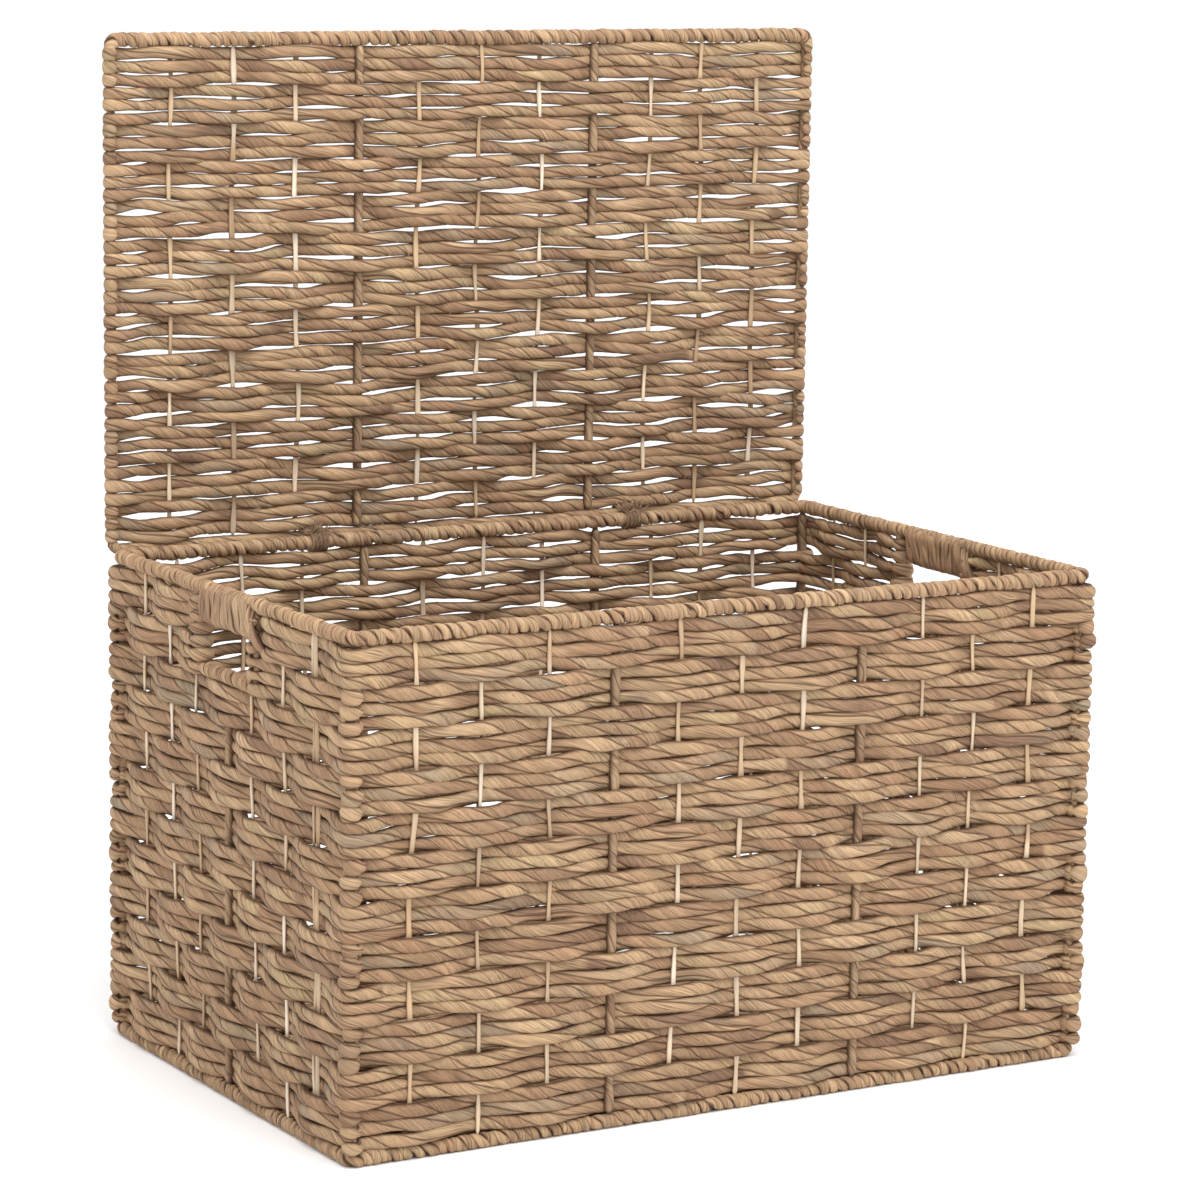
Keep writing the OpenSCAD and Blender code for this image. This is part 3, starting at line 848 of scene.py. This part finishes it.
def build_stakes():
    """The flat strips of each wall, of the base and of the lid. The left wall's front one is doubled."""
    rng = np.random.default_rng(400)
    low, high = WALL_BOTTOM - 4 * MM, WALL_TOP + 3 * MM
    for name, y, out in (("front", -HALF_D, -BACK), ("back", HALF_D, BACK)):
        panel_stakes(name, rng, WALL_STANDS, (y, low), (y, high), out)
    for name, x, out in (("left", -HALF_W, -1.0), ("right", HALF_W, 1.0)):
        bundle = Bundle()
        for k, y in enumerate(SIDE_STANDS, 1):
            if k == MID_RIB:
                continue
            top = SILL_Z - 4 * MM if k in UNDER_HOLE else high
            feet = (x, y + side_lean(y, low), low)
            tops = (x, y + side_lean(y, top), top)
            add_stake(bundle, rng, feet, tops, BACK, out * RIGHT)
            if name == "left" and k == 1:
                second = -4.2 * MM * BACK
                add_stake(bundle, rng, feet + second, tops + second, BACK, np.array([out, -0.8, 0.0]))
        settle_stakes(bundle, name)
    reach = HALF_D - 4 * MM
    panel_stakes("base", rng, WALL_STANDS, (-reach, BASE_LEVEL), (reach, BASE_LEVEL), UP)
    panel_stakes("lid", rng, LID_STANDS, (LID_Y, LID_REAR + 3 * MM), (LID_Y, LID_FREE - 3 * MM), -BACK)


def add_rib_cord(bundle, rng, foot, top, out, half=4.2 * MM):
    """A leaf twisted tightly round an upright rod."""
    path = np.linspace(foot, top, 40)
    lay_cord(bundle, rng, path, always(out), half, half, lay=15 * MM, waist=0.25, even=0.6,
             palette=DARK, patch=60 * MM, step=2.0 * MM, hand=1, lean=0.4)


def add_rib_cords(bundle, rng, stands, foot, top, out, half=4.2 * MM):
    """Leaf round both ribs of a panel; foot and top are their ends' Y and Z."""
    for k in RIBS:
        x = stands[k - 1]
        add_rib_cord(bundle, rng, (x, *foot), (x, *top), out, half)


def build_rib_cords():
    """Leaf round the ribs of the walls and the base, round the corner posts, and round the lid's ribs."""
    rng = np.random.default_rng(500)
    bundle = Bundle()
    for y, out in ((-HALF_D, -BACK), (HALF_D, BACK)):
        add_rib_cords(bundle, rng, WALL_STANDS, (y, WALL_BOTTOM), (y, WALL_TOP), out)
    y = SIDE_STANDS[MID_RIB - 1]
    for x, out in ((-HALF_W, -RIGHT), (HALF_W, RIGHT)):
        add_rib_cord(bundle, rng, (x, y, WALL_BOTTOM), (x, y, SILL_Z - 4 * MM), out)
    level, reach = middle("base_ribs", 2), HALF_D - 8 * MM
    add_rib_cords(bundle, rng, WALL_STANDS, (-reach, level), (reach, level), UP, 3.4 * MM)
    settle(bundle.mesh("rib_cords", DARK_CORD), "trunk", "rib_cord", "rib_wraps")
    bundle = Bundle()
    for corner in CORNERS:
        x, y = middle(f"corner_post_{corner}", 0), middle(f"corner_post_{corner}", 1)
        out = math.copysign(1, y) * BACK
        add_rib_cord(bundle, rng, (x, y, WALL_BOTTOM), (x, y, WALL_TOP), out, 4.8 * MM)
    settle(bundle.mesh("post_cords", DARK_CORD), "trunk", "rib_cord", *CORNER_WRAPS)
    bundle = Bundle()
    add_rib_cords(bundle, rng, LID_STANDS, (LID_Y, LID_REAR + 5 * MM), (LID_Y, LID_FREE - 5 * MM), -BACK)
    settle(bundle.mesh("lid_rib_cords", DARK_CORD), "lid", "rib_cord", "lid_rib_wraps")


# ---- Bindings coiled round rods ----

def coil(bundle, rng, line, up, closed, spacing=9.4 * MM, starts=2, radius=3.7 * MM, half_deep=2.9 * MM,
         hand=-1, tightness=None):
    """Plump twisted leaves wound round a rod that follows line; up is a direction square to the rod.

    spacing is the distance between leaves along the rod, and starts is how many are wound side by side.
    tightness maps points to how much closer the turns are there.
    """
    centre, along, total = resample(line, 1.0 * MM, closed)
    ahead = tangents(centre, closed)
    over = np.tile(up, (len(centre), 1))
    out = np.cross(ahead, over)
    rate = np.ones(len(centre)) if tightness is None else tightness(centre)
    rate = rate * (1 + 0.1 * wobble(rng, along, total, 50 * MM))
    wound = np.cumsum(rate) / rate.mean() / len(rate)
    turns = total * rate.mean() / (spacing * starts)
    if closed:
        turns = round(turns)
    slant = math.atan2(2 * math.pi * radius, spacing * starts)
    for start in range(starts):
        angle = hand * 2 * math.pi * (turns * wound + start / starts)
        angle = angle + 0.25 * wobble(rng, along, total, 15 * MM)
        swell = radius * (1 + 0.06 * wobble(rng, along, total, 20 * MM))
        radial = np.cos(angle)[:, None] * out + np.sin(angle)[:, None] * over
        path = centre + swell[:, None] * radial

        def swelling(points, share=1 / np.sqrt(rate)):
            at = np.interp(np.linspace(0, 1, len(points)), np.linspace(0, 1, len(share)), share)
            return at, np.ones(len(points))

        lay_cord(bundle, rng, path, turning(path, radial, closed), 0.6 * spacing * math.sin(slant),
                 half_deep, closed=closed, lay=rng.uniform(26, 34) * MM, waist=0.22, even=0.5,
                 palette=EVEN_LEAF, patch=40 * MM, step=2.0 * MM, hand=hand, girth=swelling, lean=0.3,
                 crease_shade=0.5)


def ring_line(height, bend=6 * MM):
    """A rod bent into the trunk's rectangle."""
    corners = [(HALF_W, -HALF_D, -90), (HALF_W, HALF_D, 0), (-HALF_W, HALF_D, 90), (-HALF_W, -HALF_D, 180)]
    points = []
    for x, y, turn in corners:
        centre = np.array([x - math.copysign(bend, x), y - math.copysign(bend, y)])
        for angle in np.radians(np.linspace(turn, turn + 90, 6)):
            points.append(centre + bend * np.array([math.cos(angle), math.sin(angle)]))
    return lift(np.array(points), height)


def bent_line(height, side, bend=6 * MM):
    """A long rod of the lid with its bent ends, which turn up if side is 1 and down if it is -1."""
    level = np.array([0.0, LID_Y, height])
    upright = side * UP
    centre = level + (HALF_W - bend) * RIGHT + bend * upright
    right_end = arc(centre, -upright, RIGHT, bend, 0.0, math.pi / 2, 1.0 * MM)
    left_end = (right_end * [-1.0, 1.0, 1.0])[::-1]
    foot, top = left_end[0] + 3 * MM * upright, right_end[-1] + 3 * MM * upright
    return np.vstack([foot, left_end, right_end, top])


def closer_at_sides(points):
    """The side rods are wound more closely than the long ones."""
    return 1 + 0.25 * smoothstep(np.abs(points[:, 0]), HALF_W - 8 * MM, HALF_W - 1 * MM)


def build_bindings():
    """The coils round the trunk's two rectangles, the lid's long rods and the hand holes' lower bars."""
    rng = np.random.default_rng(600)
    bundle = Bundle()
    coil(bundle, rng, ring_line(BASE_Z), UP, True, radius=3.5 * MM, half_deep=2.6 * MM,
         tightness=closer_at_sides)
    bundle.points = [np.maximum(points, [-1.0, -1.0, 0.1 * MM]) for points in bundle.points]
    settle(bundle.mesh("base_coil", COIL), "trunk", "binding_cord", *[f"base_binding_{w}" for w in WALLS])
    bundle = Bundle()
    coil(bundle, rng, ring_line(RIM_Z), UP, True, tightness=closer_at_sides)
    settle(bundle.mesh("rim_coil", COIL), "trunk", "binding_cord", *[f"rim_binding_{w}" for w in WALLS])
    bundle = Bundle()
    coil(bundle, rng, bent_line(LID_FREE, -1), -BACK, False)
    settle(bundle.mesh("lid_front_coil", COIL), "lid", "binding_cord", "lid_binding_front")
    bundle = Bundle()
    lay_cord(bundle, rng, bent_line(LID_REAR, 1), always(-BACK), 4.9 * MM, 4.9 * MM, waist=0.16,
             step=2.4 * MM)
    settle(bundle.mesh("lid_back_cord", CORD), "lid", "binding_cord", "lid_binding_back")
    for name, x in (("left", -HALF_W), ("right", HALF_W)):
        bundle = Bundle()
        line = np.array([[x, -HOLE_HALF - 4 * MM, SILL_Z], [x, HOLE_HALF + 4 * MM, SILL_Z]])
        coil(bundle, rng, line, UP, False, spacing=8 * MM)
        for y in (-UPRIGHT_Y, UPRIGHT_Y):
            out = math.copysign(1, x) * RIGHT
            add_rib_cord(bundle, rng, (x, y, SILL_Z), (x, y, RIM_Z), out, 5.4 * MM)
        settle(bundle.mesh(f"sill_{name}_coil", COIL), "trunk", "wrap_cord", f"sill_wrap_{name}")


def slot_outline(share, low, reach, radius):
    """A place on a turn of leaf round two rods, as its aside and height, and the way out there.

    share is how much of the turn lies before it. The turn's lower centre is at low, and its upper one
    is reach above that.
    """
    half_round = math.pi * radius
    place = share * 2 * (reach + half_round)
    if place < reach:
        return (radius, low + place), (1.0, 0.0)
    if reach + half_round <= place < 2 * reach + half_round:
        return (-radius, low + 2 * reach + half_round - place), (-1.0, 0.0)
    over_top = place < reach + half_round
    angle = (place - reach) / radius if over_top else math.pi + (place - 2 * reach - half_round) / radius
    normal = (math.cos(angle), math.sin(angle))
    return (radius * normal[0], low + reach * over_top + radius * normal[1]), normal


def build_grips():
    """Leaf wound round the rim rod and the grip rod together.

    Its turns lean more and more towards the front of the left grip and the back of the right one.
    """
    for name, x in (("left", -HALF_W), ("right", HALF_W)):
        rng = np.random.default_rng(700 + int(x > 0))
        bundle = Bundle()
        radius = 6.3 * MM
        reach = GRIP_HIGH - GRIP_LOW - 2 * radius - 3.6 * MM
        low = GRIP_LOW + radius + 1 * MM
        width = 6.2 * MM
        first, last = -HOLE_HALF - 3 * MM, HOLE_HALF + 3 * MM
        points, directions = [], []
        for turn in np.arange(0, (last - first) / width, 0.03):
            (aside, height), (out_x, out_z) = slot_outline(turn % 1.0, low, reach, radius)
            y = first + turn * width + 1.2 * MM * math.sin(turn * 2.3) + 0.7 * MM * math.sin(turn * 5.1)
            towards = y if x > 0 else -y
            slant = (0.12 + 0.4 * smoothstep(towards, -0.6 * HOLE_HALF, HOLE_HALF)) * (RIM_Z - height)
            points.append((x + aside, max(y - slant, first), height))
            directions.append((out_x, 0.0, out_z))
        points, directions = np.array(points), np.array(directions)
        lay_strip(bundle, rng, points, turning(points, directions), 0.66 * width, 1.5 * MM,
                  palette=EVEN_LEAF, patch=70 * MM, step=2.2 * MM, roundness=0.8, uneven=0.24)
        # Slanting turns that run down round the front upright.
        down = np.array([0.0, -0.5, -0.87])
        angle = np.linspace(0, 2 * math.pi, 40, endpoint=False)[:, None]
        for loop in range(5):
            centre = np.array([x, -UPRIGHT_Y + (9 - 3.6 * loop) * MM, RIM_Z - (12.5 + 1.6 * loop) * MM])
            half_long = rng.uniform(17, 19) * MM
            path = centre + 8.8 * MM * np.cos(angle) * RIGHT + half_long * np.sin(angle) * down
            lay_strip(bundle, rng, path, lambda p, t, c=centre: p - c, 4.6 * MM, 1.6 * MM, closed=True,
                      palette=EVEN_LEAF, patch=40 * MM, step=2.2 * MM, roundness=0.8, uneven=0.12)
        settle(bundle.mesh(f"grip_{name}_leaf", LEAF_WRAP), "trunk", "grip_leaf", f"grip_wrap_{name}")


# ---- Hinge ties ----

def build_ties():
    """Turns of cord round the back rim and the lid's rear rod, with frayed ends above the rim."""
    axis = np.array([0.0, HALF_D, RIM_Z])
    rod = np.array([0.0, LID_Y, LID_REAR])
    along = (rod - axis) / np.linalg.norm(rod - axis)
    aside = np.array([0.0, -along[2], along[1]])
    for name, x in (("left", -TIE_X), ("right", TIE_X)):
        rng = np.random.default_rng(800 + int(x > 0))
        bundle = Bundle()
        radius = 7.6 * MM
        for turn in range(4):
            shift = (x + (turn - 1.5) * 3.8 * MM) * RIGHT
            loop = np.vstack([arc(axis + shift, aside, -along, radius, 0.0, math.pi),
                              arc(rod + shift, -aside, along, radius, 0.0, math.pi)])
            lay_cord(bundle, rng, loop, always(RIGHT), 1.7 * MM, 2.2 * MM, closed=True, lay=7 * MM,
                     palette=TIE, patch=20 * MM, step=2 * MM)
        for _ in range(110):
            stray = np.array([rng.normal(0, 4.5), rng.uniform(-4, 5), rng.uniform(5, 9)]) * MM
            foot = axis + x * RIGHT + stray
            way = np.array([rng.normal(0, 0.8), rng.normal(0, 0.3), 0.4 + abs(rng.normal(0.3, 0.3))])
            way = way / np.linalg.norm(way)
            curl = rng.normal(0, 1, 3)
            length = rng.uniform(4, 10) * MM
            share = np.linspace(0, 1, 6)[:, None]
            hair = foot + length * share * way + 2.5 * MM * share ** 2 * curl
            lay_strip(bundle, rng, hair, lambda p, t: np.cross(t, [0.3, 0.5, 0.8]), 0.45 * MM, 0.25 * MM,
                      palette=TIE, patch=20 * MM, step=4 * MM, sides=4, uneven=0.0)
        settle(bundle.mesh(f"tie_{name}_cord", DARK_CORD), "lid", "tie_cord", f"hinge_tie_{name}")


# ---- Camera and stage ----

def build_camera():
    data = bpy.data.cameras.new("camera")
    data.lens = 127.3
    data.sensor_width = 36
    data.clip_end = 50
    camera = new_object("camera", data)
    azimuth, elevation, roll = math.radians(-30.5), math.radians(9.78), math.radians(0.87)
    back = Vector((math.sin(azimuth) * math.cos(elevation), -math.cos(azimuth) * math.cos(elevation),
                   math.sin(elevation)))
    target = Vector((0, 0, 0.387))
    camera.location = target + 3.576 * back
    turn = (-back).to_track_quat("-Z", "Y").to_matrix() @ Matrix.Rotation(roll, 3, "Z")
    camera.rotation_euler = turn.to_euler()
    bpy.context.scene.camera = camera


def build_stage():
    mesh = bpy.data.meshes.new("floor")
    size = 60.0
    mesh.from_pydata([(-size, -size, 0), (size, -size, 0), (size, size, 0), (-size, size, 0)], [],
                     [(0, 1, 2, 3)])
    material, _, _, shader = new_material("floor_white")
    shader.inputs["Base Color"].default_value = (0.94, 0.94, 0.94, 1)
    shader.inputs["Roughness"].default_value = 0.9
    mesh.materials.append(material)
    floor = new_object("floor", mesh)
    world = bpy.data.worlds.new("studio")
    world.use_nodes = True
    world.node_tree.nodes["Background"].inputs["Color"].default_value = (1, 1, 1, 1)
    world.node_tree.nodes["Background"].inputs["Strength"].default_value = 1.1
    bpy.context.scene.world = world
    lights = (("key", (1.2, -3.0, 2.0), 14, 1.6), ("top", (-0.4, -1.2, 3.3), 78, 2.2))
    for name, place, power, size in lights:
        data = bpy.data.lights.new(name, "AREA")
        data.energy = power
        data.size = size
        light = new_object(name, data)
        light.location = place
        light.rotation_euler = (Vector((0, 0, 0.3)) - Vector(place)).to_track_quat("-Z", "Y").to_euler()
    bpy.context.scene.view_settings.view_transform = "Standard"


build_camera()
build_stage()

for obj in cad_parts.values():
    obj.data.materials.clear()
    obj.data.materials.append(PAINT)

build_walls()
build_base()
build_lid()
build_stakes()
build_rib_cords()
build_bindings()
build_grips()
build_ties()
